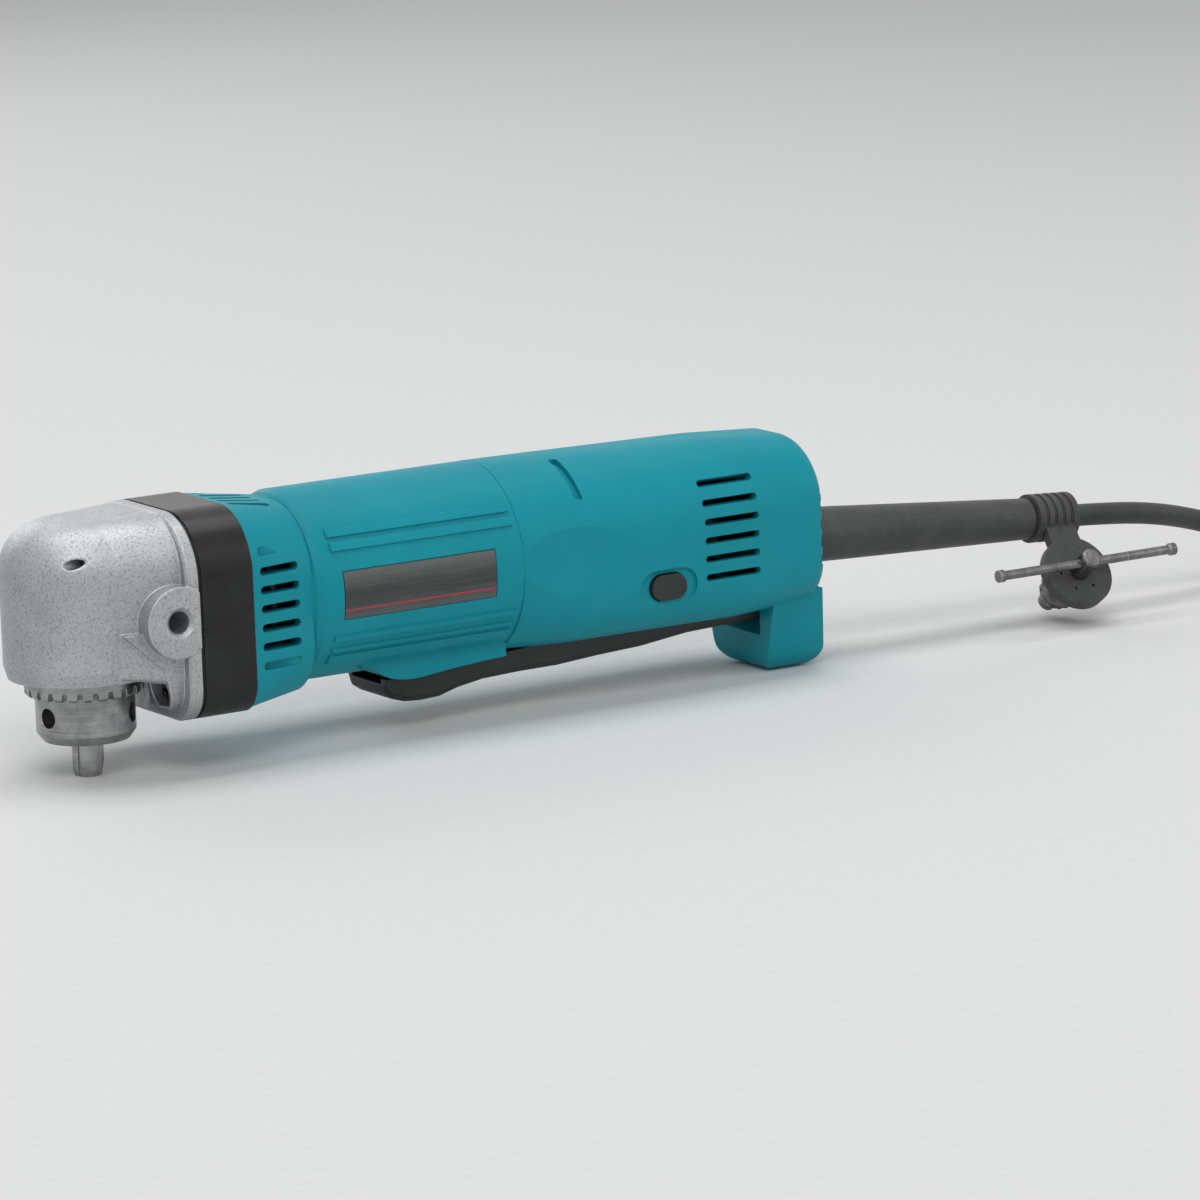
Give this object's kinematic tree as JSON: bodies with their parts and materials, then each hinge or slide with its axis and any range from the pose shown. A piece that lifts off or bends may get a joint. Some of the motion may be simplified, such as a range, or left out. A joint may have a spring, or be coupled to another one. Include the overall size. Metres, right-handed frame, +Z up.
{
  "type": "right angle drill",
  "caption": "Corded right angle drill with a keyed three-jaw chuck under a cast head, a round motor housing, a paddle lever under the handle and a chuck key held on the cord guard.",
  "frame": {"origin": "on the spindle axis at the tips of the closed chuck jaws, level with the bottom of the handle's foot", "axes": "+X runs along the body from the spindle to the cord, +Z points up along the spindle from the jaw tips to the top of the head, and -Y is the side with the round-ended switch button standing out"},
  "size_m": [0.6057, 0.0953, 0.0789],
  "materials": {
    "cast_aluminium": "cast and lightly blasted",
    "teal_plastic": "moulded, fine texture",
    "black_plastic": "moulded, fine texture",
    "black_rubber": "soft moulded rubber",
    "cord_rubber": "extruded rubber jacket",
    "chuck_steel": "ground steel, lightly oiled",
    "jaw_steel": "hardened ground steel",
    "shaft_steel": "ground steel",
    "key_steel": "plated steel",
    "black_screws": "black oxide",
    "bronze": "sintered bronze",
    "laminations": "stamped steel sheets",
    "copper_wire": "enamelled copper wire",
    "brass_parts": "pressed brass",
    "carbon": "pressed carbon",
    "label_film": "plain dark film with a thin red line",
    "fan_plastic": "moulded glass-filled plastic"
  },
  "bodies": {
    "housing": {"spindle_bearing": "shaft_steel", "spindle_bush": "bronze", "intermediate_bearing": "shaft_steel", "intermediate_bush": "bronze", "gear_housing": "cast_aluminium", "gear_housing_cover": "black_plastic", "housing_screws": "black_screws", "motor_housing": "teal_plastic", "label_plate": "label_film", "motor_bearing_front": "shaft_steel", "motor_bearing_rear": "shaft_steel", "baffle_plate": "black_plastic", "field_core": "laminations", "field_coils": "copper_wire", "brush_holders": "brass_parts", "brushes": "carbon", "brush_springs": "shaft_steel", "handle_near": "teal_plastic", "handle_far": "teal_plastic", "handle_screws": "black_screws", "lever_pin": "shaft_steel", "switch_body": "black_plastic", "cord_guard": "black_rubber", "cord_inner": "cord_rubber", "cord_clamp": "black_plastic", "cord_clamp_screws": "black_screws", "key_holder": "black_rubber", "cord": "cord_rubber", "cord_coil": "cord_rubber", "cord_tail": "cord_rubber", "plug": "black_rubber", "plug_blades": "brass_parts"},
    "spindle": {"spindle": "shaft_steel", "chuck_body": "chuck_steel", "bevel_gear": "shaft_steel", "retaining_ring": "shaft_steel"},
    "sleeve": {"chuck_sleeve": "chuck_steel", "chuck_nut": "shaft_steel"},
    "jaw_1": {"chuck_jaw_1": "jaw_steel"},
    "jaw_2": {"chuck_jaw_2": "jaw_steel"},
    "jaw_3": {"chuck_jaw_3": "jaw_steel"},
    "intermediate": {"intermediate_shaft": "shaft_steel", "reduction_gear": "shaft_steel"},
    "armature": {"armature_shaft": "shaft_steel", "armature_core": "laminations", "armature_windings": "copper_wire", "commutator": "brass_parts", "fan": "fan_plastic"},
    "lever": {"switch_lever": "black_plastic"},
    "plunger": {"switch_plunger": "black_plastic"},
    "button": {"reversing_button": "black_plastic"},
    "key": {"chuck_key": "key_steel", "chuck_key_bar": "key_steel"}
  },
  "joints": [
    {"name": "spindle_spin", "type": "hinge", "parent": "housing", "child": "spindle", "pos_m": [0, 0, 0.03], "axis": [0, 0, 1], "continuous": true},
    {"name": "intermediate_spin", "type": "hinge", "parent": "housing", "child": "intermediate", "pos_m": [0.03, 0, 0.0627], "axis": [1, 0, 0], "continuous": true},
    {"name": "armature_spin", "type": "hinge", "parent": "housing", "child": "armature", "pos_m": [0.09, 0, 0.0487], "axis": [1, 0, 0], "continuous": true},
    {"name": "sleeve_turn", "type": "hinge", "parent": "spindle", "child": "sleeve", "pos_m": [0, 0, 0.03], "axis": [0, 0, 1], "range_deg": [0, 3494.07]},
    {"name": "jaw_1_slide", "type": "slide", "parent": "spindle", "child": "jaw_1", "axis": [-0.1823, 0.1954, 0.9636], "range_m": [0, 0.01553]},
    {"name": "jaw_2_slide", "type": "slide", "parent": "spindle", "child": "jaw_2", "axis": [-0.0781, -0.2556, 0.9636], "range_m": [0, 0.01553]},
    {"name": "jaw_3_slide", "type": "slide", "parent": "spindle", "child": "jaw_3", "axis": [0.2604, 0.0601, 0.9636], "range_m": [0, 0.01553]},
    {"name": "lever_swing", "type": "hinge", "parent": "housing", "child": "lever", "pos_m": [0.234, 0, 0.0236], "axis": [0, 1, 0], "range_deg": [0, 3], "stiffness_Nm_per_rad": 3, "springref_deg": -5.73},
    {"name": "plunger_slide", "type": "slide", "parent": "housing", "child": "plunger", "axis": [0, 0, 1], "range_m": [0, 0.00314]},
    {"name": "button_slide", "type": "slide", "parent": "housing", "child": "button", "axis": [0, 1, 0], "range_m": [0, 0.004]},
    {"name": "key_turn", "type": "hinge", "parent": "housing", "child": "key", "pos_m": [0.35346, -0.0155, 0.01675], "axis": [0, 0.8141, -0.5807], "range_deg": [-38, 38]}
  ],
  "couplings": [
    {"joint": "intermediate_spin", "follows": "spindle_spin", "ratio": 2.9167},
    {"joint": "armature_spin", "follows": "spindle_spin", "ratio": -11.667},
    {"joint": "jaw_1_slide", "follows": "sleeve_turn", "m_per_rad": 0.00025465},
    {"joint": "jaw_2_slide", "follows": "sleeve_turn", "m_per_rad": 0.00025465},
    {"joint": "jaw_3_slide", "follows": "sleeve_turn", "m_per_rad": 0.00025465},
    {"joint": "plunger_slide", "follows": "lever_swing", "m_per_rad": 0.06}
  ]
}
